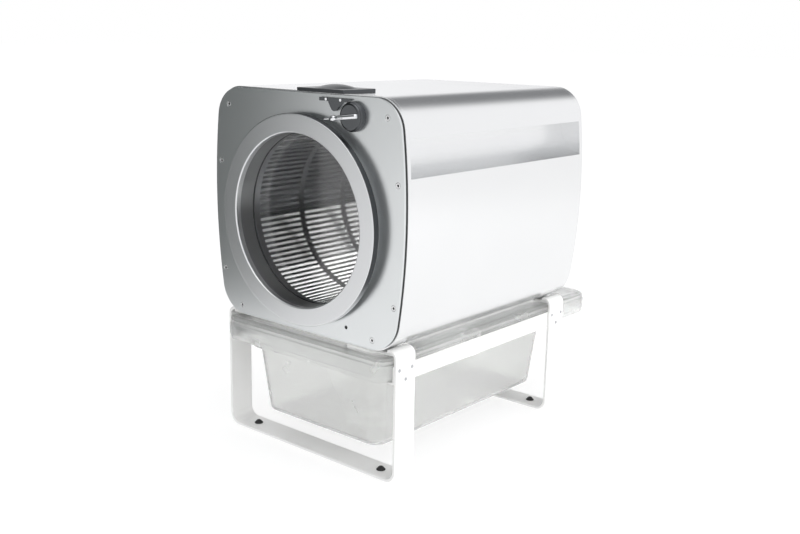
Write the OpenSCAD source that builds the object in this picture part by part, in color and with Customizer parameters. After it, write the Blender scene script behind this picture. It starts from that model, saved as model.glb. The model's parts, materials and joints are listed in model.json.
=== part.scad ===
// Bench-top rotary drum machine: a slotted drum turns inside a metal housing and drops what
// passes its slots through a chute into a clear bin, which slides in a strap-steel stand.
// Millimetres, +Z up, front of the machine towards -Y, feet on z = 0.

/* [Housing] */
// Width across the bulged sides
housing_w = 368; // [350:1:400]
// Height from the flat bottom to the flat top
housing_h = 335; // [325:1:370]
// Length of the shell between the two end frames
shell_len = 407; // [390:1:460]
// Wall of the shell
shell_wall = 3; // [2:0.5:4]
// Radius of the upper corners
top_r = 46; // [30:1:55]
// Radius of the lower corners
bottom_r = 48; // [36:1:55]
// Radius of the bulge of each side
side_r = 900; // [700:10:1400]
// Height of the widest point above the bottom
bulge_up = 180; // [160:1:200]

/* [Grip recesses] */
// Radius of the scooped face that the fingers rest on
grip_r = 42; // [36:1:46]
// Height of the scoop's centre above the housing's bottom
grip_up = 275.5; // [265:0.5:285]
// Distance from the mid-plane to the recess's inner wall
grip_in = 147; // [145:1:155]
// Height of the straight wall above the scoop
grip_lip = 9; // [6:1:12]

/* [End plates] */
// Thickness of the front and rear plates
plate_t = 3; // [2:0.5:5]
// Thickness of the dark gaskets behind the plates
gasket_t = 2; // [1:0.5:3]
// Thickness of the end frames that close the shell
frame_t = 6; // [5:0.5:10]
// How far a plate stands in from the shell's outline
plate_inset = 2.2; // [0.5:0.1:3]
// Radius of a countersunk screw's head
screw_head_r = 4.2; // [3.5:0.1:5]

/* [Drum] */
// Height of the drum's axis above the housing's bottom
axis_up = 160; // [158:1:170]
// Outside radius of the slotted drum
drum_r = 124.5; // [115:0.5:126]
// Wall of the slotted drum
drum_wall = 1.5; // [1:0.5:2]
// Number of slots round the drum
slots = 96; // [60:2:100]
// Width of a slot
slot_w = 4; // [3:0.1:5]
// Length of a slot
slot_len = 80; // [60:1:84]
// Width of the plain bands between the rows
band_w = 10; // [8:1:14]
// Rows of slots along the drum
rows = 4; // [3:1:4]
// Outside radius of the collar that the rollers carry
collar_r = 134; // [130:1:136]

/* [Door] */
// Outside radius of the door's ring
ring_r = 146; // [142:1:148]
// Radius of the door's opening
mouth_r = 120; // [110:1:121]
// Thickness of the door's ring
ring_t = 9; // [6:1:10]
// Finger gap between the ring and the front plate
ring_gap = 8; // [6:1:10]
// Thickness of the clear window
window_t = 3; // [2:0.5:4]

/* [Drive] */
// Radius of the drum shaft
shaft_r = 8; // [6:0.5:10]
// Radius of the drum's pulley
pulley_r = 60; // [50:1:70]
// Radius of the motor's pulley
pinion_r = 12; // [10:1:15]
// Width of the belt
belt_w = 8; // [6:1:10]
// Thickness of the belt
belt_t = 2.4; // [2:0.2:3]
// Radius of the gear motor
motor_r = 31; // [25:1:32]
// Length of the gear motor
motor_len = 112; // [90:1:130]
// Radius of a support roller
roller_r = 12; // [10:0.5:14]
// Angle of the rollers from straight down
roller_angle = 35; // [30:1:40]

/* [Stand and bin] */
// How far a leg's outside stands in from the housing's widest point
stand_in = 16.5; // [9:0.5:19]
// Width of the strap steel
strap_w = 40; // [30:1:50]
// Thickness of the strap steel
strap_t = 4; // [3:0.5:5]
// Outside radius of the strap's lower bends
strap_r = 18; // [12:1:24]
// Height from the strap's underside to the housing's bottom
stand_h = 182.5; // [180:0.5:200]
// Height of the rubber feet
foot_h = 3; // [2:0.5:4]
// Radius of the rubber feet
foot_r = 9; // [7:0.5:12]
// Wall of the clear bin
bin_wall = 2.4; // [2:0.1:3]
// Length of the bin's rim, front to back
rim_len = 524; // [515:1:540]
// Sideways clearance between the lid and a side rail
lid_clear = 1; // [0.5:0.1:2]

/* [Hidden] */
$fn = 96;

eps = 0.01;
fit = 0.05;                       // running clearance of a shaft in its bore, on radius
base_z = foot_h + stand_h;        // the housing's flat bottom
top_z = base_z + housing_h;
axis_z = base_z + axis_up;
bin_gap = 5;                      // between the housing's bottom and the lid's top

// Stations along the machine, counted from the front plate's face
frame_y = plate_t + gasket_t;
shell_y = frame_y + frame_t;
shell_end = shell_y + shell_len;
back_frame_end = shell_end + frame_t;
back_y = back_frame_end + gasket_t + plate_t;
ring_face = -(ring_t + ring_gap);
rim_y = -12;                      // front of the bin's lid
// The bounding box's middle goes to the origin
origin_y = -(ring_face + rim_y + rim_len) / 2;

module placed() translate([0, origin_y, 0]) children();

// ---- shared shapes ----
function arc(c, r, from, to, n) =
    [for (i = [0:n]) let (a = from + (to - from) * i / n) c + r * [cos(a), sin(a)]];

// A bulged, round-cornered outline in x and z, shrunk by inset all round
side_c = side_r - housing_w / 2;
function corner_x(r, cz) = -side_c + sqrt(pow(side_r - r, 2) - pow(cz - bulge_up, 2));
top_cz = housing_h - top_r;
top_cx = corner_x(top_r, top_cz);
bottom_cx = corner_x(bottom_r, bottom_r);
low_a = atan2(bottom_r - bulge_up, bottom_cx + side_c);
high_a = atan2(top_cz - bulge_up, top_cx + side_c);
function right_half(inset) = concat(
    arc([bottom_cx, base_z + bottom_r], bottom_r - inset, -90, low_a, 28),
    arc([-side_c, base_z + bulge_up], side_r - inset, low_a, high_a, 16),
    arc([top_cx, base_z + top_cz], top_r - inset, high_a, 90, 28));
module outline(inset = 0) {
    half = right_half(inset);
    n = len(half);
    polygon(concat(half, [for (i = [n - 1:-1:0]) [-half[i][0], half[i][1]]]));
}
// The scooped grip in each side, grown by g
grip_cx = grip_in + grip_r;
module grips(g = 0) for (s = [-1, 1]) intersection() {
    translate([s * (grip_in - g + 50), base_z + grip_up + grip_lip + g - 60])
        square([100, 120], center = true);
    union() {
        translate([s * grip_cx, base_z + grip_up]) circle(grip_r + g);
        translate([s * (grip_in - g + 50), base_z + grip_up + (grip_lip + g) / 2])
            square([100, grip_lip + g], center = true);
    }
}
module body_profile(inset = 0) difference() { outline(inset); grips(inset); }

// Extrudes a flat shape drawn in x and z from y0 towards the back
module along_y(y0, length) translate([0, y0 + length, 0]) rotate([90, 0, 0])
    linear_extrude(length) children();
module rod_y(x, z, r, y0, length) translate([x, y0, z]) rotate([-90, 0, 0]) cylinder(h = length, r = r);
module tube_y(x, z, r, bore, y0, length) difference() {
    rod_y(x, z, r, y0, length);
    rod_y(x, z, bore, y0 - 1, length + 2);
}

// Places of the plate screws, as x and height above the housing's bottom
plate_screws = [[151, 309], [170, 226], [166, 66], [129.5, 15]];
// Inner edges of a plate screw's seat: countersink from head radius to shank radius
shank_r = 2;
head_t = 2.2;
module screw_seats(face, dir) for (p = plate_screws, s = [-1, 1])
    translate([s * p[0], face, base_z + p[1]]) rotate([-90 * dir, 0, 0]) {
        translate([0, 0, -eps]) cylinder(h = head_t + eps, r1 = screw_head_r + 0.02, r2 = shank_r + 0.01);
        cylinder(h = 40, r = shank_r);
    }
module plate_screw_set(face, dir) for (p = plate_screws, s = [-1, 1])
    translate([s * p[0], face, base_z + p[1]]) rotate([-90 * dir, 0, 0]) difference() {
        union() {
            cylinder(h = head_t, r1 = screw_head_r, r2 = shank_r);
            translate([0, 0, head_t - eps]) cylinder(h = frame_y + frame_t - head_t, r = shank_r);
        }
        translate([0, 0, -1]) cylinder(h = 2.6, r = 1.6, $fn = 6);
    }

// ---- housing ----
drop_w = 202;                     // opening in the housing's bottom
drop_y0 = 36;
drop_y1 = shell_end - 24;
bolt_x = 116;                     // bolts that hold the housing to the stand
bolt_y = [26, 393];
bolt_r = 3;
module bolt_holes(r) for (x = [-1, 1], y = bolt_y)
    translate([x * bolt_x, y, base_z - 30]) cylinder(h = 50, r = r);
button_x = 40;
button_y = 23;
plunger_r = 4;
module housing_shell() color([0.86, 0.87, 0.88]) difference() {
    along_y(shell_y, shell_len) difference() {
        body_profile();
        body_profile(shell_wall);
    }
    translate([-drop_w / 2, drop_y0, base_z - 5]) cube([drop_w, drop_y1 - drop_y0, 20]);
    bolt_holes(bolt_r);
    translate([button_x, button_y, top_z - 10]) cylinder(h = 20, r = plunger_r + fit);
}
// The end frames are full plates behind the gaskets, so that the grips end in a flat wall
frame_hole = 141;
module front_frame() color([0.9, 0.9, 0.91]) difference() {
    along_y(frame_y, frame_t) outline();
    rod_y(0, axis_z, frame_hole, frame_y - 1, frame_t + 2);
    screw_seats(0, 1);
    rod_y(lock_x, lock_z, lock_room_r, 0, 20);
    for (s = [-1, 1]) rod_y(s * roller_x, roller_z, axle_r, frame_y - 1, frame_t + 2);
}
module rear_frame() color([0.88, 0.88, 0.89]) difference() {
    along_y(shell_end, frame_t) outline();
    along_y(shell_end - 1, frame_t + 2) body_profile(22);
    screw_seats(back_y, -1);
}
module gasket(y0, hole) color([0.2, 0.21, 0.22]) difference() {
    along_y(y0, gasket_t) outline(plate_inset + 0.4);
    children();
}
module front_gasket() gasket(plate_t) {
    rod_y(0, axis_z, frame_hole, 0, 20);
    screw_seats(0, 1);
    rod_y(lock_x, lock_z, lock_room_r, 0, 20);
}
module rear_gasket() gasket(back_frame_end) {
    along_y(back_frame_end - 1, gasket_t + 2) body_profile(22);
    screw_seats(back_y, -1);
}
mouth_hole = 139;
module front_plate() color([0.74, 0.76, 0.78]) difference() {
    along_y(0, plate_t) outline(plate_inset);
    rod_y(0, axis_z, mouth_hole, -1, plate_t + 2);
    screw_seats(0, 1);
    rod_y(index_x, index_z, index_r, -1, plate_t + 2);
    rod_y(lock_x, lock_z, lock_pin_r + fit, -1, plate_t + 2);
}
module rear_plate() color([0.74, 0.76, 0.78]) difference() {
    along_y(back_y - plate_t, plate_t) outline(plate_inset);
    screw_seats(back_y, -1);
    translate([panel_x - inlet_w / 2, back_y - 10, inlet_z - inlet_h / 2]) cube([inlet_w, 20, inlet_h]);
    translate([panel_x - rocker_w / 2 - 1.5, back_y - 10, rocker_z - rocker_h / 2 - 1.5])
        cube([rocker_w + 3, 20, rocker_h + 3]);
    rod_y(panel_x, dial_z, dial_bush_r, back_y - 10, 20);
}
module plate_screws() color([0.7, 0.71, 0.73]) {
    plate_screw_set(0, 1);
    plate_screw_set(back_y, -1);
}

// ---- chute: two folded sheets that guide what falls from the drum past the motor ----
chute_t = 1.5;
chute_gap = 10.5;                 // from the drum to the sheets
chute_x = drop_w / 2 - 2;
motor_x = -134;
motor_z = base_z + 47;
motor_gap = norm([motor_x, motor_z - axis_z]);
chute_n = [motor_x, motor_z - axis_z] / motor_gap;
chute_r = drum_r + chute_gap;
chute_top_x = -155;
function chute_line(x) = axis_z + (chute_r - x * chute_n[0]) / chute_n[1];
chute_y0 = 33.5;
// The top edge folds back down to the shell's wall, and the foot stands on its bottom
chute_top_z = chute_line(chute_top_x);
chute_foot_z = base_z + shell_wall;
chute_wall_x = -corner_x(0, chute_top_z - base_z - 24) + shell_wall + 0.6;
module chute_sheet() along_y(chute_y0, bulkhead_y - chute_y0) polygon([
    [chute_top_x, chute_top_z], [-chute_x, chute_line(-chute_x)],
    [-chute_x, chute_foot_z], [-chute_x - chute_t, chute_foot_z],
    [-chute_x - chute_t, chute_line(-chute_x) - chute_t * 0.6],
    [chute_top_x, chute_top_z - chute_t * 1.6],
    [chute_wall_x, chute_top_z - 24 - chute_t * 1.4], [chute_wall_x, chute_top_z - 24]]);
module chute_sheets() color([0.93, 0.93, 0.92]) {
    chute_sheet();
    mirror([1, 0, 0]) chute_sheet();
}

// ---- door: a ring with a recessed clear window, on a spigot that fits the mouth ----
window_y = 15;                    // front of the window
window_r = mouth_r + 4;
window_seal_t = 1.5;
clamp_t = 1.5;
clamp_y = window_y + window_t + window_seal_t;
door_end = clamp_y + clamp_t;
spigot_r = mouth_hole - 0.6;
window_screw_r = 1.5;
module window_screw_places() for (i = [0:5]) translate([0, 0, axis_z]) rotate([0, 30 + 60 * i, 0])
    translate([(window_r + spigot_r) / 2, 0, 0]) children();
module door_ring() color([0.78, 0.79, 0.81]) tube_y(0, axis_z, ring_r, mouth_r, ring_face, ring_t);
module door_spigot() color([0.35, 0.36, 0.38]) difference() {
    tube_y(0, axis_z, spigot_r, mouth_r, ring_face + ring_t, clamp_y - ring_face - ring_t);
    rod_y(0, axis_z, window_r, window_y, 60);
    window_screw_places() rod_y(0, 0, window_screw_r, clamp_y - 6, 10);
}
module door_window() color([0.85, 0.9, 0.92, 0.35]) rod_y(0, axis_z, window_r, window_y, window_t);
module window_seal() color([0.15, 0.15, 0.16])
    tube_y(0, axis_z, window_r, mouth_r, window_y + window_t, window_seal_t);
module window_clamp() color([0.6, 0.61, 0.63]) difference() {
    tube_y(0, axis_z, spigot_r, mouth_r, clamp_y, clamp_t);
    window_screw_places() rod_y(0, 0, window_screw_r, clamp_y - 6, 10);
}
module window_screws() color([0.5, 0.5, 0.52]) window_screw_places()
    rod_y(0, 0, window_screw_r, clamp_y - 6, 6 + clamp_t);

// ---- drum ----
cage_y0 = door_end + 1;
row_pitch = slot_len + band_w;
first_slot = 33;
cage_y1 = first_slot + rows * row_pitch - 3;
collar_w = first_slot - cage_y0 - 0.5;
module drum_collar() color([0.7, 0.71, 0.73]) tube_y(0, axis_z, collar_r, drum_r, cage_y0, collar_w);
bar_pitch = 2 * PI * drum_r / slots;
module drum_cage() color([0.55, 0.56, 0.58]) union() {
    translate([0, 0, axis_z]) for (i = [0:slots - 1]) rotate([0, i * 360 / slots, 0])
        translate([drum_r - drum_wall + 0.2, cage_y0 + 2, (slot_w - bar_pitch) / 2])
            cube([drum_wall - 0.6, cage_y1 - cage_y0 - 3, bar_pitch - slot_w]);
    tube_y(0, axis_z, drum_r, drum_r - drum_wall, cage_y0, first_slot - cage_y0);
    for (row = [1:rows])
        tube_y(0, axis_z, drum_r, drum_r - drum_wall, first_slot + row * row_pitch - band_w,
            row < rows ? band_w : band_w - 3);
}
disc_t = 3;
disc_y = cage_y1;
hub_r = 26;
hub_t = 9;
hub_y = disc_y + disc_t;
hub_screw_r = 2.5;
module hub_screw_places() for (i = [0:3]) rotate([0, 45 + 90 * i, 0]) translate([18, 0, 0]) children();
module drum_rear_disc() color([0.6, 0.61, 0.63]) difference() {
    rod_y(0, axis_z, drum_r, disc_y, disc_t);
    rod_y(0, axis_z, shaft_r, disc_y - 1, disc_t + 2);
    translate([0, 0, axis_z]) hub_screw_places() rod_y(0, 0, hub_screw_r, disc_y - 1, disc_t + 2);
}
module drum_hub() color([0.7, 0.7, 0.72]) difference() {
    rod_y(0, axis_z, hub_r, hub_y, hub_t);
    rod_y(0, axis_z, shaft_r, hub_y - 1, hub_t + 2);
    translate([0, 0, axis_z]) hub_screw_places() rod_y(0, 0, hub_screw_r, hub_y - 1, 7);
}
module drum_disc_screws() color([0.5, 0.5, 0.52]) translate([0, 0, axis_z]) hub_screw_places() {
    rod_y(0, 0, 4.5, disc_y - 2.5, 2.5);
    rod_y(0, 0, hub_screw_r, disc_y - eps, 7);
}
shaft_y0 = disc_y - 4;
module drive_shaft() color([0.75, 0.76, 0.78])
    rod_y(0, axis_z, shaft_r, shaft_y0, back_y - plate_t - 4 - shaft_y0);

// ---- drive ----
bulkhead_t = 3;
bulkhead_y = hub_y + hub_t + 2;
bearing_r = 20;
bearing_t = 8;
motor_hole_r = 14;
motor_bolt_r = 2;
module bulkhead_holes() {
    rod_y(0, axis_z, bearing_r + 4, bulkhead_y - 1, bulkhead_t + 2);
    rod_y(motor_x, motor_z, motor_hole_r, bulkhead_y - 1, bulkhead_t + 2);
    motor_bolts(motor_bolt_r, bulkhead_y - 1, bulkhead_t + 2);
}
module motor_bolts(r, y0, length) for (i = [0:3])
    rod_y(motor_x + 22 * cos(45 + 90 * i), motor_z + 22 * sin(45 + 90 * i), r, y0, length);
module rear_bulkhead() color([0.8, 0.8, 0.81]) difference() {
    along_y(bulkhead_y, bulkhead_t) body_profile(shell_wall);
    bulkhead_holes();
}
module bearing_housing() color([0.45, 0.46, 0.48]) difference() {
    union() {
        rod_y(0, axis_z, bearing_r + 4, bulkhead_y, bearing_t);
        rod_y(0, axis_z, bearing_r + 14, bulkhead_y + bulkhead_t, 3);
    }
    rod_y(0, axis_z, bearing_r, bulkhead_y - 1, bearing_t + 2);
}
module shaft_bearing() color([0.72, 0.73, 0.75])
    tube_y(0, axis_z, bearing_r, shaft_r + fit, bulkhead_y, bearing_t);
belt_y = bulkhead_y + bearing_t + 2;
module pulley(x, z, r, bore) difference() {
    union() {
        rod_y(x, z, r, belt_y, belt_w);
        rod_y(x, z, r + 3, belt_y - 1.2, 1.2);
        rod_y(x, z, r + 3, belt_y + belt_w, 1.2);
    }
    rod_y(x, z, bore, belt_y - 5, belt_w + 10);
}
module drum_pulley() color([0.62, 0.63, 0.65]) pulley(0, axis_z, pulley_r, shaft_r);
module motor_pulley() color([0.62, 0.63, 0.65]) pulley(motor_x, motor_z, pinion_r, motor_shaft_r);
motor_shaft_r = 4;
module motor_shaft() color([0.75, 0.76, 0.78])
    rod_y(motor_x, motor_z, motor_shaft_r, bulkhead_y + 0.5, belt_y + belt_w + 2 - bulkhead_y);
module gear_motor() color([0.3, 0.31, 0.33]) difference() {
    union() {
        rod_y(motor_x, motor_z, motor_r, bulkhead_y - motor_len, motor_len);
        rod_y(motor_x, motor_z, motor_r - 6, bulkhead_y - motor_len - 8, 8);
    }
    motor_bolts(motor_bolt_r, bulkhead_y - 12, 20);
}
module motor_screws() color([0.5, 0.5, 0.52]) {
    motor_bolts(motor_bolt_r, bulkhead_y - 11, 11.5 + bulkhead_t);
    motor_bolts(3.6, bulkhead_y + bulkhead_t, 2.4);
}
// The belt runs straight between the two pulleys' outer tangents
belt_gap = 0.3;
belt_in = pulley_r + belt_gap;
belt_in_small = pinion_r + belt_gap;
belt_tilt = acos((belt_in - belt_in_small) / motor_gap);
belt_dir = atan2(motor_z - axis_z, motor_x);
function belt_loop(g) = concat(
    arc([0, axis_z], belt_in + g, belt_dir + belt_tilt, belt_dir + 360 - belt_tilt, 60),
    arc([motor_x, motor_z], belt_in_small + g, belt_dir - belt_tilt, belt_dir + belt_tilt, 24));
module drive_belt() color([0.12, 0.12, 0.13]) along_y(belt_y + 0.4, belt_w - 0.8) difference() {
    polygon(belt_loop(belt_t));
    polygon(belt_loop(0));
}

// ---- front rollers and seal ----
axle_r = 4;
roller_gap = 0.15;
roller_d = collar_r + roller_r + roller_gap;
roller_x = roller_d * sin(roller_angle);
roller_z = axis_z - roller_d * cos(roller_angle);
roller_y = cage_y0 + 1;
roller_w = collar_w - 2;
module roller_axles() color([0.7, 0.71, 0.73]) for (s = [-1, 1]) {
    rod_y(s * roller_x, roller_z, axle_r, frame_y, roller_y + roller_w + 1 - frame_y);
    rod_y(s * roller_x, roller_z, axle_r + 2.5, roller_y + roller_w + 0.6, 2);
}
module roller(s) color([0.2, 0.2, 0.21])
    tube_y(s * roller_x, roller_z, roller_r, axle_r + fit, roller_y, roller_w);
module roller_left() roller(-1);
module roller_right() roller(1);
module mouth_seal() color([0.15, 0.15, 0.16])
    tube_y(0, axis_z, frame_hole, spigot_r + 0.4, frame_y, frame_t);

// ---- rear controls ----
panel_x = 118;
inlet_w = 27;
inlet_h = 31;
inlet_z = base_z + 62;
rocker_w = 13;
rocker_h = 20;
rocker_z = base_z + 112;
dial_z = base_z + 170;
dial_bush_r = 4;
dial_r = 14;
module power_inlet() color([0.13, 0.13, 0.14]) difference() {
    union() {
        translate([panel_x - inlet_w / 2, back_y - 20, inlet_z - inlet_h / 2])
            cube([inlet_w, 20 + eps, inlet_h]);
        translate([panel_x - inlet_w / 2 - 4, back_y, inlet_z - inlet_h / 2 - 4])
            cube([inlet_w + 8, 2.5, inlet_h + 8]);
    }
    translate([panel_x - 11, back_y - 14, inlet_z - 8]) cube([22, 30, 16]);
    for (s = [-1, 1]) rod_y(panel_x, inlet_z + s * 16, 1.6, back_y - 30, 60);
}
module switch_bezel() color([0.13, 0.13, 0.14]) difference() {
    union() {
        translate([panel_x - rocker_w / 2 - 1.5, back_y - 14, rocker_z - rocker_h / 2 - 1.5])
            cube([rocker_w + 3, 14 + eps, rocker_h + 3]);
        translate([panel_x - rocker_w / 2 - 4, back_y, rocker_z - rocker_h / 2 - 4])
            cube([rocker_w + 8, 2, rocker_h + 8]);
    }
    translate([panel_x - rocker_w / 2, back_y - 11, rocker_z - rocker_h / 2]) cube([rocker_w, 30, rocker_h]);
    rocker_pin(rocker_pin_r + fit);
}
rocker_y = back_y - 2;
rocker_tilt = 9;
rocker_pin_r = 1.2;
module rocker_pin(r) translate([panel_x - rocker_w / 2 - 1, rocker_y, rocker_z]) rotate([0, 90, 0])
    cylinder(h = rocker_w + 2, r = r);
module switch_rocker() color([0.2, 0.2, 0.21]) {
    rocker_pin(rocker_pin_r);
    translate([panel_x - rocker_w / 2 + 0.4, rocker_y, rocker_z]) rotate([-rocker_tilt, 0, 0])
        rotate([90, 0, 90]) linear_extrude(rocker_w - 0.8)
            polygon([[-6, -7.5], [3, -8.2], [6.2, -8], [3.6, 0], [6.2, 8], [3, 8.2], [-6, 7.5]]);
}
module speed_dial_nut() color([0.7, 0.7, 0.72]) difference() {
    union() {
        rod_y(panel_x, dial_z, dial_bush_r, back_y - 12, 15);
        rod_y(panel_x, dial_z, 8, back_y - 18, 18 - plate_t);
        translate([panel_x, back_y, dial_z]) rotate([-90, 0, 0]) cylinder(h = 2.4, r = 7, $fn = 6);
    }
    rod_y(panel_x, dial_z, 3 + fit, back_y - 12, 40);
}
module speed_dial() color([0.16, 0.16, 0.17]) difference() {
    union() {
        rod_y(panel_x, dial_z, dial_r, back_y + 4, 13);
        rod_y(panel_x, dial_z, dial_r + 2, back_y + 4, 2.5);
        rod_y(panel_x, dial_z, 3, back_y - 11, 16);
    }
    translate([panel_x - 0.8, back_y + 16, dial_z + 3]) cube([1.6, 4, dial_r]);
}
module control_box() color([0.85, 0.85, 0.83])
    translate([107, bulkhead_y - 90, base_z + 26]) cube([46, 90, 42]);

// ---- front lock ----
lock_x = 95.5;
lock_z = base_z + 307;
lock_pin_r = 3;
lock_boss_r = 19.5;
lock_boss_t = 8;
lock_room_r = 8;
index_x = 82.5;
index_z = base_z + 23.5;
index_r = 2.6;
module lock_boss() color([0.35, 0.36, 0.38])
    tube_y(lock_x, lock_z, lock_boss_r, lock_pin_r + fit, -lock_boss_t, lock_boss_t);
lever_tilt = 7;                   // the lever points at the ring, a little below level
lever_face = -lock_boss_t - 0.3;
module lock_lever() color([0.85, 0.86, 0.88]) union() {
    translate([lock_x, lever_face, lock_z]) rotate([90, 0, 0]) cylinder(h = 2.4, r1 = 18, r2 = 16.6);
    rod_y(lock_x, lock_z, lock_pin_r, lever_face - 1, plate_t + lock_boss_t + 4);
    translate([lock_x, lever_face - 4.4, lock_z]) rotate([0, -lever_tilt, 0]) {
        translate([-24, 0, 0]) rotate([0, 90, 0]) cylinder(h = 38, r = 3.6);
        translate([-26, 0, 0]) rotate([0, 90, 0]) sphere(r = 4.25);
        translate([14, 0, 0]) rotate([0, 90, 0]) cylinder(h = 1.4, r1 = 3.6, r2 = 2.6);
        translate([-43, -1.6, -1.6]) cube([18, 3.2, 3.2]);
        translate([-40.5, -1.4, 0]) cube([4, 2.8, 7]);
    }
}
module lock_retainer() color([0.5, 0.5, 0.52]) tube_y(lock_x, lock_z, 7, lock_pin_r, plate_t + 0.3, 2);
// A curved keeper hooks over the front's top edge beside the lock
keeper_t = 4;
module keeper_shape() difference() {
    union() {
        translate([35, top_z - 10.5]) square([56, 4.5]);
        polygon([[40, top_z - 7], [50, top_z - 9], [56, top_z - 19], [68, top_z - 20], [76, top_z - 11],
            [90, top_z - 7]]);
        translate([62, top_z - 17]) circle(r = 6);
    }
    translate([lock_x, lock_z]) circle(r = lock_boss_r + 1);
    translate([41, top_z - 20]) circle(r = 8.5);
}
module lock_keeper() color([0.25, 0.26, 0.28]) difference() {
    along_y(-keeper_t, keeper_t) keeper_shape();
    for (x = [48, 74]) rod_y(x, top_z - 8.2, 1.2, -keeper_t - 1, keeper_t + 2);
}
module keeper_screws() color([0.6, 0.6, 0.62]) for (x = [48, 74]) {
    rod_y(x, top_z - 8.2, 1.2, -keeper_t, keeper_t);
    rod_y(x, top_z - 8.2, 2, -keeper_t - 1, 1);
}
// Cover plate on the top edge, with a domed button that works a plunger inside
cover_w = 85;
cover_len = 62;
cover_t = 5;
cover_y = -8;
button_r = 27;
dome_h = 5;
dome_r = (pow(button_r, 2) + pow(dome_h, 2)) / (2 * dome_h);
button_gap = 0.3;
module latch_cover() color([0.42, 0.43, 0.45]) difference() {
    translate([button_x - cover_w / 2, cover_y, top_z]) cube([cover_w, cover_len, cover_t]);
    translate([button_x, button_y, top_z + 1]) cylinder(h = 20, r = button_r + button_gap);
    translate([button_x, button_y, top_z - 1]) cylinder(h = 20, r = plunger_r + fit);
}
button_travel = 2.5;
pocket_r = 9;
pocket_h = 4;
button_z = top_z + 1 + button_travel;
module release_button() color([0.3, 0.31, 0.33]) difference() {
    union() {
        translate([button_x, button_y, button_z]) cylinder(h = cover_t - 1 - button_travel, r = button_r);
        intersection() {
            translate([button_x, button_y, top_z + cover_t + dome_h - dome_r]) sphere(r = dome_r, $fn = 128);
            translate([button_x, button_y, top_z + cover_t - eps]) cylinder(h = 20, r = button_r + 1);
        }
    }
    translate([button_x, button_y, button_z - 1]) cylinder(h = pocket_h + 1, r = pocket_r);
}
plunger_bottom = top_z - 22;
module button_plunger() color([0.7, 0.71, 0.73]) translate([button_x, button_y, plunger_bottom]) {
    cylinder(h = button_z + pocket_h - plunger_bottom, r = plunger_r);
    cylinder(h = 2, r = plunger_r + 4);
}
// Return spring round the plunger, from the cover's floor to the pocket's roof in the button
spring_wire = 0.9;
spring_turns = 3;
spring_z0 = top_z + 1 + spring_wire / 2;
spring_z1 = button_z + pocket_h - spring_wire / 2;
spring_coil_r = (plunger_r + pocket_r) / 2;
spring_rings = 60;
spring_sides = 8;
function spring_point(i, k) =
    let (t = i / spring_rings, a = 360 * spring_turns * t, b = 360 * k / spring_sides,
        r = spring_coil_r + spring_wire / 2 * cos(b))
    [r * cos(a), r * sin(a), spring_z0 + (spring_z1 - spring_z0) * t + spring_wire / 2 * sin(b)];
module button_spring() color([0.7, 0.71, 0.73]) translate([button_x, button_y, 0]) polyhedron(
    points = [for (i = [0:spring_rings], k = [0:spring_sides - 1]) spring_point(i, k)],
    faces = concat(
        [[for (k = [0:spring_sides - 1]) k]],
        [[for (k = [spring_sides - 1:-1:0]) spring_rings * spring_sides + k]],
        [for (i = [0:spring_rings - 1], k = [0:spring_sides - 1])
            let (a = i * spring_sides + k, b = i * spring_sides + (k + 1) % spring_sides)
            [a, a + spring_sides, b + spring_sides, b]]));

// ---- stand ----
strap_y0 = 6;
rear_strap_y0 = strap_y0 + 374;
strap_mid = [strap_y0 + strap_w / 2, rear_strap_y0 + strap_w / 2];
leg_x = housing_w / 2 - stand_in;
lip_r = 12;                       // outside radius of the bend at a leg's top
lip_z = base_z + 5.5;             // top of the lip
lip_in = 32.5;                    // the lip ends just outside the housing's lower corner
lip_x = housing_w / 2 - lip_in;
foot_x = 126;
foot_screw_r = 2.5;
module strap_profile() difference() {
    strap_loop(0);
    strap_loop(strap_t);
    translate([-lip_x, lip_z - 8]) square([2 * lip_x, 30]);
}
// The strap's outer (g = 0) or inner (g = strap_t) line as a closed shape
module strap_loop(g) polygon(concat(
    arc([leg_x - strap_r, foot_h + strap_r], strap_r - g, -90, 0, 16),
    arc([leg_x - lip_r, lip_z - lip_r], lip_r - g, 0, 90, 16),
    arc([-leg_x + lip_r, lip_z - lip_r], lip_r - g, 90, 180, 16),
    arc([-leg_x + strap_r, foot_h + strap_r], strap_r - g, 180, 270, 16)));
module stand_strap(y0) color([0.96, 0.96, 0.95]) difference() {
    along_y(y0, strap_w) strap_profile();
    for (s = [-1, 1]) translate([s * foot_x, y0 + strap_w / 2, 0]) cylinder(h = 20, r = foot_screw_r);
    for (s = [-1, 1], p = rail_screw_places(y0))
        translate([s * leg_x, p[0], p[1]]) rotate([0, 90, 0])
            cylinder(h = 20, r = rail_screw_r, center = true);
}
module stand_strap_front() stand_strap(strap_y0);
module stand_strap_rear() stand_strap(rear_strap_y0);
bar_t = 3.5;
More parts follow.
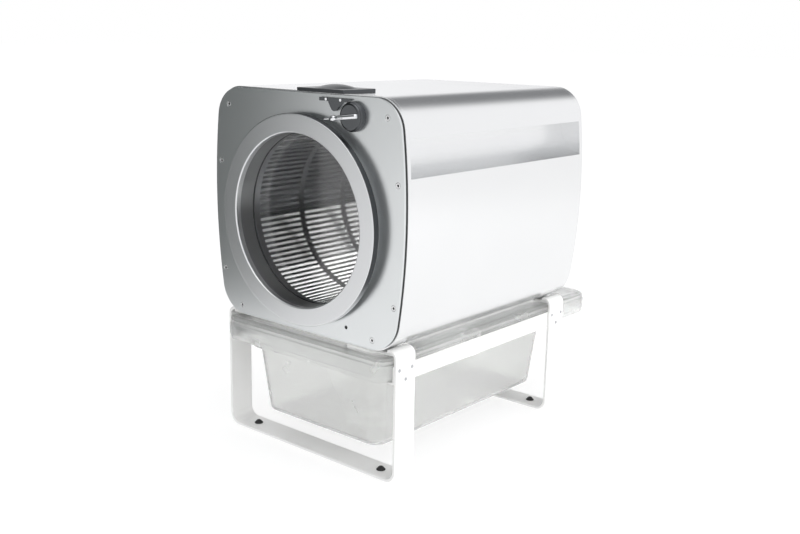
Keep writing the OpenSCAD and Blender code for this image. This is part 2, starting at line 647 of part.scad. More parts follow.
// A support bar ends on the inside of the bend at the strap's top
bar_half = leg_x - lip_r + sqrt(pow(lip_r - strap_t, 2) - pow(base_z - lip_z + lip_r, 2)) - 0.05;
module support_bar(y0) color([0.96, 0.96, 0.95]) difference() {
    translate([-bar_half, y0 + 5, base_z - bar_t]) cube([2 * bar_half, strap_w - 10, bar_t]);
    bolt_holes(bolt_r);
}
module support_bars() {
    support_bar(strap_y0);
    support_bar(rear_strap_y0);
}
rail_t = 2;
rail_z0 = base_z - 40.5;
rail_z1 = base_z - 16.5;
rail_flange = 12;
rail_screw_r = 1.5;
function rail_screw_places(y0) = [
    [y0 + 7, rail_z1 - 5], [y0 + strap_w - 7, rail_z1 - 5], [y0 + strap_w / 2, rail_z0 + 4.5]];
module side_rail(s) color([0.95, 0.95, 0.94]) difference() {
    union() {
        translate([s > 0 ? leg_x - strap_t - rail_t : -leg_x + strap_t, strap_y0, rail_z0])
            cube([rail_t, rear_strap_y0 + strap_w - strap_y0, rail_z1 - rail_z0]);
        translate([s > 0 ? leg_x - strap_t - rail_flange : -leg_x + strap_t, strap_y0, rail_z0])
            cube([rail_flange, rear_strap_y0 + strap_w - strap_y0, rail_t]);
    }
    for (y0 = [strap_y0, rear_strap_y0], p = rail_screw_places(y0))
        translate([s * leg_x, p[0], p[1]]) rotate([0, 90, 0])
            cylinder(h = 20, r = rail_screw_r, center = true);
}
module side_rail_left() side_rail(-1);
module side_rail_right() side_rail(1);
module rail_screws() color([0.5, 0.5, 0.5])
    for (s = [-1, 1], y0 = [strap_y0, rear_strap_y0], p = rail_screw_places(y0))
        translate([s * leg_x, p[0], p[1]]) rotate([0, 90 * s, 0]) {
            translate([0, 0, -strap_t - rail_t]) cylinder(h = strap_t + rail_t + 0.3, r = rail_screw_r);
            cylinder(h = 0.9, r1 = 2.6, r2 = 1.8);
        }
module foot_places() for (s = [-1, 1], y = strap_mid) translate([s * foot_x, y, 0]) children();
module rubber_feet() color([0.12, 0.12, 0.12]) foot_places() difference() {
    cylinder(h = foot_h, r1 = foot_r, r2 = foot_r + 0.6);
    translate([0, 0, 1]) cylinder(h = foot_h, r = foot_screw_r);
}
module foot_screws() color([0.1, 0.1, 0.1]) foot_places() {
    translate([0, 0, 1]) cylinder(h = foot_h + strap_t - 0.5, r = foot_screw_r);
    translate([0, 0, foot_h + strap_t]) cylinder(h = 1.2, r = 6.5);
    intersection() {
        translate([0, 0, foot_h + strap_t + 1]) sphere(r = 5);
        translate([0, 0, foot_h + strap_t + 1]) cylinder(h = 5, r = 6);
    }
}
module housing_bolts() color([0.6, 0.6, 0.62]) for (x = [-1, 1], y = bolt_y)
    translate([x * bolt_x, y, base_z - bar_t]) {
        translate([0, 0, -0.5]) cylinder(h = bar_t + shell_wall + 1, r = bolt_r);
        translate([0, 0, -1.2]) cylinder(h = 1.2, r = bolt_r + 2.5);
        translate([0, 0, bar_t + shell_wall]) cylinder(h = 4, r = 5.5, $fn = 6);
    }

// ---- bin and lid ----
lid_half = leg_x - strap_t - rail_t - lid_clear;
lid_wall = 1.8;
lid_top = base_z - bin_gap;
lid_t = 2.5;
skirt_z = base_z - 31.5;
corner_r = 22;
rim_half = lid_half - lid_wall - 0.3;
rim_top = lid_top - lid_t - 0.2;
rim_bottom = rail_z0 + rail_t + 0.3;
rim_t = 2.6;
bin_floor = base_z - 153.5;
bin_front = 16;                   // front wall at the rim
bin_back = 434;
bin_half = 129;
draft = 14;                       // how far each wall leans in by the floor
shoulder_z = base_z - 50;
shoulder = 10;
shoulder_len = 58;
module rounded(x0, x1, y0, y1, r) translate([x0 + r, y0 + r]) offset(r = r, $fn = 48)
    square([x1 - x0 - 2 * r, y1 - y0 - 2 * r]);
module tub(g) hull() {
    translate([0, 0, bin_floor + g]) linear_extrude(0.1, $fn = 32)
        rounded(-bin_half + draft + g, bin_half - draft - g, bin_front + draft + g, bin_back - draft - g, 20);
    translate([0, 0, rim_top - 0.1]) linear_extrude(0.1 + (g > 0 ? 1 : 0), $fn = 32)
        rounded(-bin_half + g, bin_half - g, bin_front + g, bin_back - g, 20);
}
module shoulders(g, up) for (sx = [-1, 1], front = [true, false]) {
    y0 = front ? bin_front - 6 + g : bin_back + 6 - shoulder_len - 10 + g;
    x0 = sx > 0 ? bin_half - shoulder_len + shoulder : -bin_half - shoulder;
    translate([x0 + g, y0, shoulder_z + g])
        cube([shoulder_len - 2 * g, shoulder_len + 10 - 2 * g, rim_top - shoulder_z - g + up]);
}
module bin() color([0.86, 0.88, 0.88]) difference() {
    union() {
        tub(0);
        shoulders(0, 0);
        translate([0, 0, rim_top - rim_t]) linear_extrude(rim_t)
            rounded(-rim_half, rim_half, rim_y + lid_wall + 0.3, rim_y + rim_len - lid_wall - 0.3, corner_r);
        translate([0, 0, rim_bottom]) linear_extrude(rim_top - rim_bottom - rim_t + eps) difference() {
            rounded(-rim_half, rim_half, rim_y + lid_wall + 0.3, rim_y + rim_len - lid_wall - 0.3, corner_r);
            rounded(-rim_half + rim_t, rim_half - rim_t, rim_y + lid_wall + 0.3 + rim_t,
                rim_y + rim_len - lid_wall - 0.3 - rim_t, corner_r - rim_t);
        }
    }
    tub(bin_wall);
    shoulders(bin_wall, 1);
}
lid_open = 210;
module bin_lid() color([0.88, 0.9, 0.9]) difference() {
    union() {
        translate([0, 0, skirt_z]) linear_extrude(lid_top - skirt_z)
            rounded(-lid_half, lid_half, rim_y, rim_y + rim_len, corner_r + 2);
        translate([-lid_open / 2 - lid_wall, drop_y0 - 6 - lid_wall, lid_top - eps])
            cube([lid_open + 2 * lid_wall, drop_y1 - drop_y0 + 12 + 2 * lid_wall, 1]);
    }
    translate([0, 0, skirt_z - 1]) linear_extrude(lid_top - lid_t - skirt_z + 1)
        rounded(-lid_half + lid_wall, lid_half - lid_wall, rim_y + lid_wall,
            rim_y + rim_len - lid_wall, corner_r);
    translate([-lid_open / 2, drop_y0 - 6, lid_top - 20])
        cube([lid_open, drop_y1 - drop_y0 + 12, 40]);
}

placed() housing_shell();
placed() front_frame();
placed() rear_frame();
placed() front_gasket();
placed() rear_gasket();
placed() front_plate();
placed() rear_plate();
placed() plate_screws();
placed() chute_sheets();
placed() mouth_seal();
placed() rear_bulkhead();
placed() bearing_housing();
placed() shaft_bearing();
placed() roller_axles();
placed() gear_motor();
placed() motor_screws();
placed() drive_belt();
placed() control_box();
placed() power_inlet();
placed() switch_bezel();
placed() speed_dial_nut();
placed() door_ring();
placed() door_spigot();
placed() door_window();
placed() window_seal();
placed() window_clamp();
placed() window_screws();
placed() drum_collar();
placed() drum_cage();
placed() drum_rear_disc();
placed() drum_hub();
placed() drum_disc_screws();
placed() drive_shaft();
placed() drum_pulley();
placed() motor_shaft();
placed() motor_pulley();
placed() roller_left();
placed() roller_right();
placed() stand_strap_front();
placed() stand_strap_rear();
placed() support_bars();
placed() side_rail_left();
placed() side_rail_right();
placed() rail_screws();
placed() rubber_feet();
placed() foot_screws();
placed() housing_bolts();
placed() bin();
placed() bin_lid();
placed() lock_boss();
placed() lock_lever();
placed() lock_retainer();
placed() lock_keeper();
placed() keeper_screws();
placed() latch_cover();
placed() release_button();
placed() button_plunger();
placed() button_spring();
placed() switch_rocker();
placed() speed_dial();
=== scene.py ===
import json
import math

import bmesh
import bpy
import numpy as np
from mathutils import Matrix, Vector

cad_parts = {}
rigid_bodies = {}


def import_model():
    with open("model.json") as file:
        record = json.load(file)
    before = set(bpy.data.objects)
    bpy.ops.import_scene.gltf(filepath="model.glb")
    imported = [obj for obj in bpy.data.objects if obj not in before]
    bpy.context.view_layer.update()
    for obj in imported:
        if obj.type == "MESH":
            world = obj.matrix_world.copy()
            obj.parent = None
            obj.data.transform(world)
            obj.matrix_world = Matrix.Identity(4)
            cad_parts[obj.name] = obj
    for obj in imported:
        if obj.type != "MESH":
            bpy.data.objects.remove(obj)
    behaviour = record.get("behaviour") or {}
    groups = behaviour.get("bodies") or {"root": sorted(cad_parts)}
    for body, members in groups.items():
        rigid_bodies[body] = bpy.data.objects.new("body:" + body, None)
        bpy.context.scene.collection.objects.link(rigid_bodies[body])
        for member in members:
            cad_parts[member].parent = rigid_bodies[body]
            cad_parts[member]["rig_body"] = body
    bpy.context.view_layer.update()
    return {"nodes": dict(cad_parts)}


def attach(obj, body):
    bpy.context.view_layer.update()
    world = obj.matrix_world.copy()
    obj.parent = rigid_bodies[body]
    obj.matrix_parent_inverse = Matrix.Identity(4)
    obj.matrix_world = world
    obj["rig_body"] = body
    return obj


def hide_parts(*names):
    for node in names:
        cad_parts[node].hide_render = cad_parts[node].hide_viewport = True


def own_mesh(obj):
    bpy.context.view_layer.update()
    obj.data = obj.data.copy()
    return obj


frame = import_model()
MM = 0.001

# ---------------------------------------------------------------------------------------------
# The studio: a camera at the right front, a little above the machine's top, a pale floor that
# runs out to a white room, and soft light panels. None of this is part of the machine.
camera_place, focal_length, sensor_width = (0.9788, -1.1959, 0.5986), 45.2, 36
yaw, pitch, roll = math.radians(40.25), math.radians(13.15), math.radians(1.08)
forward = Vector((-math.sin(yaw) * math.cos(pitch), math.cos(yaw) * math.cos(pitch), -math.sin(pitch)))
level = forward.cross(Vector((0, 0, 1))).normalized()
upward = level.cross(forward)
right = math.cos(roll) * level + math.sin(roll) * upward
up = -math.sin(roll) * level + math.cos(roll) * upward
camera = bpy.data.objects.new("camera", bpy.data.cameras.new("camera"))
camera.data.lens = focal_length
camera.data.sensor_width = sensor_width
turn = Matrix((right, up, -forward)).transposed().to_4x4()
camera.matrix_world = Matrix.Translation(camera_place) @ turn
bpy.context.scene.collection.objects.link(camera)
bpy.context.scene.camera = camera
bpy.context.scene.view_settings.view_transform = "Standard"

world = bpy.data.worlds.new("white_room")
bpy.context.scene.world = world
world.use_nodes = True
sky = world.node_tree.nodes
sky["Background"].inputs["Strength"].default_value = 1.0
way = sky.new("ShaderNodeTexCoord")


def facing_ramp(direction, *stops):
    """A colour for each way out of the scene: an eased ramp over its cosine with direction."""
    cosine, ramp = sky.new("ShaderNodeVectorMath"), sky.new("ShaderNodeValToRGB")
    cosine.operation = "DOT_PRODUCT"
    cosine.inputs[1].default_value = Vector(direction).normalized()
    ramp.color_ramp.interpolation = "EASE"
    for stop, (position, colour) in zip(ramp.color_ramp.elements, stops):
        stop.position = position
        stop.color = (*colour, 1)
    world.node_tree.links.new(way.outputs["Generated"], cosine.inputs[0])
    world.node_tree.links.new(cosine.outputs["Value"], ramp.inputs["Fac"])
    return ramp.outputs["Color"]


# The room is white all round, and falls off to grey towards the front left
fall = facing_ramp((-0.86, -0.5, 0.0), (0.45, (1.02, 1.02, 1.03)), (0.9, (0.12, 0.13, 0.13)))
# High behind the machine hangs a grey patch, which the shell's upper corners mirror as a band
patch = facing_ramp((-0.22, 0.78, 0.58), (0.89, (1, 1, 1)), (0.985, (0.2, 0.205, 0.21)))
both = sky.new("ShaderNodeMix")
both.data_type, both.blend_type = "RGBA", "MULTIPLY"
both.inputs["Factor"].default_value = 1.0
world.node_tree.links.new(fall, both.inputs["A"])
world.node_tree.links.new(patch, both.inputs["B"])
# Where the room itself is seen, it is plain white
path, seen = sky.new("ShaderNodeLightPath"), sky.new("ShaderNodeMix")
seen.data_type = "RGBA"
seen.inputs["B"].default_value = (1, 1, 1, 1)
world.node_tree.links.new(path.outputs["Is Camera Ray"], seen.inputs["Factor"])
world.node_tree.links.new(both.outputs["Result"], seen.inputs["A"])
world.node_tree.links.new(seen.outputs["Result"], sky["Background"].inputs["Color"])


def panel(name, place, aim, size, power):
    """A rectangular soft light at place that faces aim, size wide and high in metres."""
    lamp = bpy.data.objects.new(name, bpy.data.lights.new(name, "AREA"))
    lamp.data.shape = "RECTANGLE"
    lamp.data.size, lamp.data.size_y = size
    lamp.data.energy = power
    lamp.location = place
    lamp.rotation_euler = (Vector(aim) - Vector(place)).to_track_quat("-Z", "Y").to_euler()
    bpy.context.scene.collection.objects.link(lamp)
    return lamp


panel("top_light", (0.5, -0.4, 2.4), (0, 0, 0.3), (2.2, 1.8), 12)
panel("side_light", (2.2, 0.9, 0.6), (0, 0, 0.2), (1.4, 1.2), 18).visible_glossy = False
# Two small panels inside stand for the light that comes in through the bin and the mouth
for settings in (("drum_glow", (0.03, -0.02, 0.36), (-0.13, 0.0, 0.25), (0.1, 0.3), 0.8),
                 ("bin_glow", (0.0, -0.02, 0.13), (-0.02, 0.0, 0.4), (0.18, 0.34), 1.0)):
    glow = panel(*settings)
    glow.visible_camera = glow.visible_glossy = glow.visible_transmission = False


def sheet(name, material_name, corners, inputs):
    """One four-cornered face with a plain material, for the studio only."""
    mesh = bpy.data.meshes.new(name)
    mesh.from_pydata(corners, [], [(0, 1, 2, 3)])
    flat = bpy.data.objects.new(name, mesh)
    bpy.context.scene.collection.objects.link(flat)
    material = bpy.data.materials.new(material_name)
    material.use_nodes = True
    for label, value in inputs.items():
        material.node_tree.nodes["Principled BSDF"].inputs[label].default_value = value
    mesh.materials.append(material)
    return flat


FLOOR_REACH = 30
floor = sheet("floor", "pale_floor",
              [(x * FLOOR_REACH, y * FLOOR_REACH, 0) for x, y in ((-1, -1), (1, -1), (1, 1), (-1, 1))],
              {"Base Color": (0.3, 0.3, 0.3, 1), "Roughness": 0.8, "Specular IOR Level": 0.0,
               "Emission Color": (1, 1, 1, 1), "Emission Strength": 0.75})
# A dark card stands on the left, out of view: the front plate and the chrome mirror it
card = sheet("dark_card", "dark_card",
             [(-0.52, -0.77, 0.0), (-1.3, -0.25, 0.0), (-1.3, -0.25, 1.1), (-0.52, -0.77, 1.1)],
             {"Base Color": (0.1, 0.108, 0.106, 1), "Roughness": 1.0})
card.visible_diffuse = card.visible_shadow = card.visible_camera = False

# ---------------------------------------------------------------------------------------------
# Straps: two lengths of flat steel bar, bent into a U with short lips at the top and powder
# coated white. They stand across the machine, front and rear, and carry the housing.


def effect_group(name, inputs, outputs):
    """A new effect with float sockets: its group, given values, results and object coordinates."""
    group = bpy.data.node_groups.new(name, "ShaderNodeTree")
    for label, value in inputs.items():
        socket = group.interface.new_socket(label, in_out="INPUT", socket_type="NodeSocketFloat")
        socket.default_value = value
    for label in outputs:
        group.interface.new_socket(label, in_out="OUTPUT", socket_type="NodeSocketFloat")
    kinds = ("NodeGroupInput", "NodeGroupOutput", "ShaderNodeTexCoord")
    enter, leave, place = [group.nodes.new(kind) for kind in kinds]
    return group, enter.outputs, leave.inputs, place.outputs["Object"]


def feed(tree, socket, value):
    """Links value to the socket if it is an output, or else sets it as the socket's own number."""
    if isinstance(value, bpy.types.NodeSocket):
        tree.links.new(value, socket)
    else:
        socket.default_value = value


def texture(tree, kind, vector, output="Fac", **settings):
    """One output of a texture node on vector, with its settings given as numbers or outputs."""
    node = tree.nodes.new("ShaderNodeTex" + kind)
    tree.links.new(vector, node.inputs["Vector"])
    for label, value in settings.items():
        feed(tree, node.inputs[label], value)
    return node.outputs[output]


def scaled_sum(tree, value, factor, base):
    """The output of value * factor + base, each a number or an output."""
    node = tree.nodes.new("ShaderNodeMath")
    node.operation = "MULTIPLY_ADD"
    for socket, given in zip(node.inputs, (value, factor, base)):
        feed(tree, socket, given)
    return node.outputs[0]


def powder_group():
    """Powder coat: a fine orange-peel height, and slow changes of gloss where hands have been."""
    group, given, result, place = effect_group(
        "powder_coat", {"Gloss": 0.35, "Peel": 900.0}, ("Roughness", "Height"))
    peel = texture(group, "Noise", place, Scale=given["Peel"])
    hands = texture(group, "Noise", place, Scale=14, Detail=3)
    feed(group, result["Roughness"], scaled_sum(group, hands, 0.16, given["Gloss"]))
    feed(group, result["Height"], peel)
    return group


POWDER = powder_group()


def finish_material(name, colour, group, settings, bump, metallic=0.0, tone=None):
    """A Principled material whose roughness and bump come from one effect group. Where the group
    has a Tone, the colour runs from colour to tone, which is a tenth darker unless it is given."""
    material = bpy.data.materials.new(name)
    material.use_nodes = True
    nodes, links = material.node_tree.nodes, material.node_tree.links
    shader = nodes["Principled BSDF"]
    shader.inputs["Base Color"].default_value = (*colour, 1)
    shader.inputs["Metallic"].default_value = metallic
    effect = nodes.new("ShaderNodeGroup")
    effect.node_tree = group
    for socket, value in settings.items():
        effect.inputs[socket].default_value = value
    relief = nodes.new("ShaderNodeBump")
    relief.inputs["Distance"].default_value = bump
    relief.inputs["Strength"].default_value = 1.0
    links.new(effect.outputs["Roughness"], shader.inputs["Roughness"])
    links.new(effect.outputs["Height"], relief.inputs["Height"])
    links.new(relief.outputs["Normal"], shader.inputs["Normal"])
    if "Tone" in effect.outputs:
        mix = nodes.new("ShaderNodeMix")
        mix.data_type = "RGBA"
        mix.inputs["A"].default_value = (*colour, 1)
        mix.inputs["B"].default_value = (*(tone or [c * 0.9 for c in colour]), 1)
        links.new(effect.outputs["Tone"], mix.inputs["Factor"])
        links.new(mix.outputs["Result"], shader.inputs["Base Color"])
    return material


def loop_faces(rows, columns, wrap_rows=False):
    """Quads of a grid of rows closed loops with columns points each; wrap_rows joins last to first."""
    i = np.arange(rows if wrap_rows else rows - 1)[:, None]
    j = np.arange(columns)[None, :]
    a = i * columns + j
    b = i * columns + (j + 1) % columns
    c = ((i + 1) % rows) * columns + (j + 1) % columns
    d = ((i + 1) % rows) * columns + j
    return np.stack([a, b, c, d], -1).reshape(-1, 4)


def join_parts(parts):
    """One vertex array and one face list from several (vertices, faces) pairs."""
    points = np.concatenate([np.asarray(p, float).reshape(-1, 3) for p, _ in parts])
    starts = np.cumsum([0] + [len(np.asarray(p, float).reshape(-1, 3)) for p, _ in parts])
    faces = [[int(v) + int(s) for v in f] for (_, fs), s in zip(parts, starts) for f in fs]
    return points, faces


def add_piece(name, part, material, body, nodes=()):
    """A new piece from vertices in millimetres and faces: doubles merged, faces turned outwards."""
    points, faces = part
    mesh = bpy.data.meshes.new(name)
    mesh.from_pydata((np.asarray(points, float) * MM).tolist(), [], [list(map(int, f)) for f in faces])
    work = bmesh.new()
    work.from_mesh(mesh)
    bmesh.ops.remove_doubles(work, verts=work.verts, dist=1e-7)
    bmesh.ops.recalc_face_normals(work, faces=work.faces)
    work.to_mesh(mesh)
    work.free()
    mesh.materials.append(material)
    piece = bpy.data.objects.new(name, mesh)
    bpy.context.scene.collection.objects.link(piece)
    soften_edges(piece)
    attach(piece, body)
    if nodes:
        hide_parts(*nodes)
    return piece


def soften_edges(piece, bevel=None):
    """Smooth shading that breaks at edges over 35 degrees, and a small bevel on those if asked."""
    piece.data.shade_smooth()
    piece.data.set_sharp_from_angle(angle=math.radians(35))
    if bevel:
        cut = piece.modifiers.new("edge", "BEVEL")
        cut.width = bevel * MM
        cut.segments = 2
        cut.limit_method = "ANGLE"
        cut.angle_limit = math.radians(38)
    flat = piece.modifiers.new("flat", "WEIGHTED_NORMAL")
    flat.keep_sharp = True
    flat.weight = 100


def rounded_corners(points, radius, steps=4):
    """A closed outline whose corners are cut back by radius (less on short edges) and bridged by
    quadratic curves: (1-t)^2 A + 2t(1-t) P + t^2 B for corner P between A and B."""
    p = np.asarray(points, float)
    back, ahead = np.roll(p, 1, 0) - p, np.roll(p, -1, 0) - p
    len_b = np.maximum(np.linalg.norm(back, axis=1, keepdims=True), 1e-9)
    len_a = np.maximum(np.linalg.norm(ahead, axis=1, keepdims=True), 1e-9)
    radius = np.broadcast_to(np.asarray(radius, float).reshape(-1, 1), len_a.shape)
    a = p + back / len_b * np.minimum(radius, len_b * 0.49)
    b = p + ahead / len_a * np.minimum(radius, len_a * 0.49)
    t = np.linspace(0, 1, steps + 1)[None, :, None]
    curve = (1 - t) ** 2 * a[:, None] + 2 * t * (1 - t) * p[:, None] + t**2 * b[:, None]
    return curve.reshape(-1, p.shape[1])


def arc(cx, cz, r, start, end, steps):
    """Points on a circle from angle start to end, in degrees."""
    a = np.radians(np.linspace(start, end, steps + 1))
    return np.stack([cx + r * np.cos(a), cz + r * np.sin(a)], 1)


STRAP_T, STRAP_W = 4.0, 40.0
leg, low_bend, lip_bend = 167.5, 18.0, 12.0
strap_low, strap_high, lip_end = 3.0, 191.0, 151.5


def strap_part(y_start):
    """The bar's rounded section, swept along the middle line of its bends from lip to lip."""
    h = STRAP_T / 2
    half = np.concatenate([
        [[lip_end, strap_high - h]],
        arc(leg - lip_bend, strap_high - lip_bend, lip_bend - h, 90, 0, 10),
        arc(leg - low_bend, strap_low + low_bend, low_bend - h, 0, -90, 14),
    ])
    path = np.concatenate([half, half[::-1] * [-1, 1]])
    along = np.gradient(path, axis=0)
    along /= np.linalg.norm(along, axis=1, keepdims=True)
    out = np.stack([-along[:, 1], along[:, 0]], 1)
    section = rounded_corners([[-h, 0], [h, 0], [h, STRAP_W], [-h, STRAP_W]], 0.9, 3)
    flat = path[:, None, :] + out[:, None, :] * section[None, :, :1]
    y = np.broadcast_to(section[None, :, 1] + y_start, flat.shape[:2])
    grid = np.stack([flat[..., 0], y, flat[..., 1]], -1)
    n = section.shape[0]
    last = (len(path) - 1) * n
    caps = [list(range(n)), list(range(last, last + n))[::-1]]
    return grid.reshape(-1, 3), [*loop_faces(len(path), n).tolist(), *caps]


white_coat = finish_material("white_powder", (0.86, 0.86, 0.85), POWDER,
                             {"Gloss": 0.28, "Peel": 700.0}, 0.00002)
# The front plate's face, from which places along the machine are counted
origin_y = -247.5
for name, y_start in (("stand_strap_front", 6.0), ("stand_strap_rear", 380.0)):
    add_piece(name + "_bar", strap_part(y_start + origin_y), white_coat, "housing", [name])

# ---------------------------------------------------------------------------------------------
# Rails and support bars: folded sheet angles screwed inside the legs, which the bin's rim slides
# on, and flat bars across the straps' tops. All are powder coated like the straps.


def dressed(node, material, bevel=0.4):
    """A finished copy of a CAD node: triangles merged to flat faces, edges rounded by a bevel."""
    source = frame["nodes"][node]
    mesh = source.data.copy()
    mesh.name = node + "_finished"
    work = bmesh.new()
    work.from_mesh(mesh)
    bmesh.ops.remove_doubles(work, verts=work.verts, dist=1e-6)
    bmesh.ops.dissolve_limit(work, angle_limit=math.radians(0.6), verts=work.verts, edges=work.edges)
    bmesh.ops.recalc_face_normals(work, faces=work.faces)
    work.to_mesh(mesh)
    work.free()
    mesh.materials.clear()
    mesh.materials.append(material)
    piece = bpy.data.objects.new(node + "_finished", mesh)
    bpy.context.scene.collection.objects.link(piece)
    soften_edges(piece, bevel)
    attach(piece, source["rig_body"])
    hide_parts(node)
    return piece


for name in ("side_rail_left", "side_rail_right", "support_bars"):
    dressed(name, white_coat, 0.4)

# ---------------------------------------------------------------------------------------------
# Small steel parts: screws, bolts, axles, shafts, the bearing and the button's plunger. Their
# shapes are right as they come from the CAD, so they only gain an edge and a finish.


def metal_group():
    """Bare or anodised metal: a matt fine grain, slow smudges, and a tone that follows them."""
    group, given, result, place = effect_group(
        "metal_grain", {"Gloss": 0.3, "Grain": 2500.0, "Smudge": 0.08}, ("Roughness", "Height", "Tone"))
    grain = texture(group, "Noise", place, Scale=given["Grain"])
    smudge = texture(group, "Noise", place, Scale=9, Detail=4, Roughness=0.6)
    fine = scaled_sum(group, grain, 0.06, given["Gloss"])
    feed(group, result["Roughness"], scaled_sum(group, smudge, given["Smudge"], fine))
    feed(group, result["Height"], grain)
    feed(group, result["Tone"], smudge)
    return group


METAL = metal_group()
plain_steel = finish_material("turned_steel", (0.55, 0.56, 0.58), METAL,
                              {"Gloss": 0.2, "Smudge": 0.1}, 0.000004, 1.0)
for name in ("rail_screws", "housing_bolts", "motor_screws", "drum_disc_screws", "window_screws",
             "roller_axles", "speed_dial_nut", "lock_retainer", "motor_shaft", "drive_shaft",
             "bearing_housing", "shaft_bearing", "button_plunger"):
    dressed(name, plain_steel, 0.15)

# ---------------------------------------------------------------------------------------------
# Feet: four rubber pads under the straps, each held by a black dome-headed screw that shows
# on the strap's upper face.


def revolved(profile, centre, axis="y", steps=64, closed=False):
    """A profile of (radius, height) rows turned about an axis through centre; closed for tubes."""
    p = np.asarray(profile, float)
    a = np.linspace(0, 2 * np.pi, steps, endpoint=False)
    r, h = p[:, 0][:, None], np.broadcast_to(p[:, 1][:, None], (len(p), steps))
    first, second = r * np.cos(a), r * np.sin(a)
    if axis == "y":
        grid = np.stack([centre[0] + first, centre[1] + h, centre[2] + second], -1)
    else:
        grid = np.stack([centre[0] + first, centre[1] + second, centre[2] + h], -1)
    return grid.reshape(-1, 3), loop_faces(len(p), steps, closed).tolist()


def open_round(profile, radius, steps=4):
    """An open profile from axis to axis, with its inner corners rounded and its ends kept."""
    p = np.asarray(profile, float)
    inner = rounded_corners(p, radius, steps).reshape(len(p), steps + 1, 2)[1:-1].reshape(-1, 2)
    return np.concatenate([p[:1], inner, p[-1:]])


def rubber_group():
    """Moulded rubber or plastic: a fine pebble and a few paler rubbed patches."""
    group, given, result, place = effect_group(
        "moulded_skin", {"Gloss": 0.6, "Pebble": 1500.0}, ("Roughness", "Height", "Tone"))
    pebble = texture(group, "Voronoi", place, "Distance", Scale=given["Pebble"])
    rub = texture(group, "Noise", place, Scale=30, Detail=3)
    feed(group, result["Roughness"], scaled_sum(group, rub, 0.12, given["Gloss"]))
    feed(group, result["Height"], pebble)
    feed(group, result["Tone"], rub)
    return group


SKIN = rubber_group()
black_rubber = finish_material("black_rubber", (0.012, 0.012, 0.013), SKIN, {"Gloss": 0.55}, 0.00002,
                               tone=(0.03, 0.03, 0.03))
foot_spots = [(sx * 126.0, y + origin_y) for sx in (-1, 1) for y in (26.0, 400.0)]
pad_profile = open_round([(0, 0), (9, 0), (9.6, 3), (0, 3)], 0.6)
pads = join_parts([revolved(pad_profile, (x, y, 0), "z", 40) for x, y in foot_spots])
add_piece("foot_pads", pads, black_rubber, "housing", ["rubber_feet"])
dome = np.concatenate([[[0, 1.0], [2.5, 1.0], [2.5, 7.0], [6.5, 7.0], [6.5, 7.9]],
                       arc(0, 7.2, 5.2, 12, 62, 8), [[1.9, 11.4], [1.7, 9.8], [0, 9.8]]])
domes = join_parts([revolved(open_round(dome, 0.25, 2), (x, y, 0), "z", 36) for x, y in foot_spots])
add_piece("foot_screw_heads", domes, black_rubber, "housing", ["foot_screws"])

# ---------------------------------------------------------------------------------------------
# Housing: an extruded aluminium shell with a scooped grip along each side, closed by an end
# frame, a thin dark gasket and a screwed plate at each end. All satin anodised.
satin_shell = finish_material("satin_anodised_shell", (0.86, 0.865, 0.87), METAL,
                              {"Gloss": 0.2, "Grain": 3200.0, "Smudge": 0.05}, 0.0000022, 1.0,
                              tone=(0.83, 0.835, 0.84))
satin_plate = finish_material("satin_anodised_plate", (0.78, 0.80, 0.805), METAL,
                              {"Gloss": 0.25, "Grain": 3200.0, "Smudge": 0.05}, 0.0000022, 1.0,
                              tone=(0.75, 0.77, 0.775))
dressed("housing_shell", satin_shell, 0.5)
for name in ("front_frame", "rear_frame"):
    dressed(name, satin_shell, 0.6)
for name in ("front_gasket", "rear_gasket"):
    dressed(name, black_rubber, None)
for name in ("front_plate", "rear_plate"):
    dressed(name, satin_plate, 0.5)

# ---------------------------------------------------------------------------------------------
# Plate screws: eight countersunk socket screws at each end, turned from stainless steel.
# A black ring fills each seat round its screw's head and a black disc sits in its socket: painted shade
# in the gap and in the socket.
BASE_Z, HOUSING_H, HOUSING_LEN = 185.5, 335.0, 429.0
screw_rows = [(151.0, 309.0), (170.0, 226.0), (166.0, 66.0), (129.5, 15.0)]
head = open_round([(0, 2.5), (1.75, 2.5), (1.75, 0.3), (2.1, 0.05), (3.45, 0.05), (3.65, 0.3),
                   (3.5, 0.9), (2.0, 2.4), (2.0, 11.0), (0, 11.0)], 0.12, 2)
# Painted shadow: a black ring in the gap between each head and its seat
seat_shade_ring = open_round([(3.5, 0.55), (4.15, 0.12), (4.2, 0.3), (3.6, 0.9)], 0.03, 1)
# Painted shade: a black disc down in each head's socket
socket = open_round([(0, 0.6), (1.75, 0.6), (1.75, 1.2), (0, 1.2)], 0.05, 1)


def at_plate_screws(*shapes):
    """Each (profile, steps, closed) turned about every plate screw, and mirrored at the rear."""
    parts = []
    for x, up_z in screw_rows:
        for sx in (-1, 1):
            for y, way_in in ((origin_y, 1), (origin_y + HOUSING_LEN, -1)):
                for profile, steps, closed in shapes:
                    centre = (sx * x, y, BASE_Z + up_z)
                    parts.append(revolved(profile * [1, way_in], centre, "y", steps, closed))
    return join_parts(parts)


bright_steel = finish_material("bright_steel", (0.93, 0.935, 0.94), METAL,
                               {"Gloss": 0.2, "Smudge": 0.08}, 0.000002, 1.0)
add_piece("plate_screw_heads", at_plate_screws((head, 32, False)), bright_steel, "housing",
          ["plate_screws"])
add_piece("plate_screw_seat_shade_rings", at_plate_screws((seat_shade_ring, 32, True), (socket, 24, False)), black_rubber,
          "housing", ["plate_screws"])

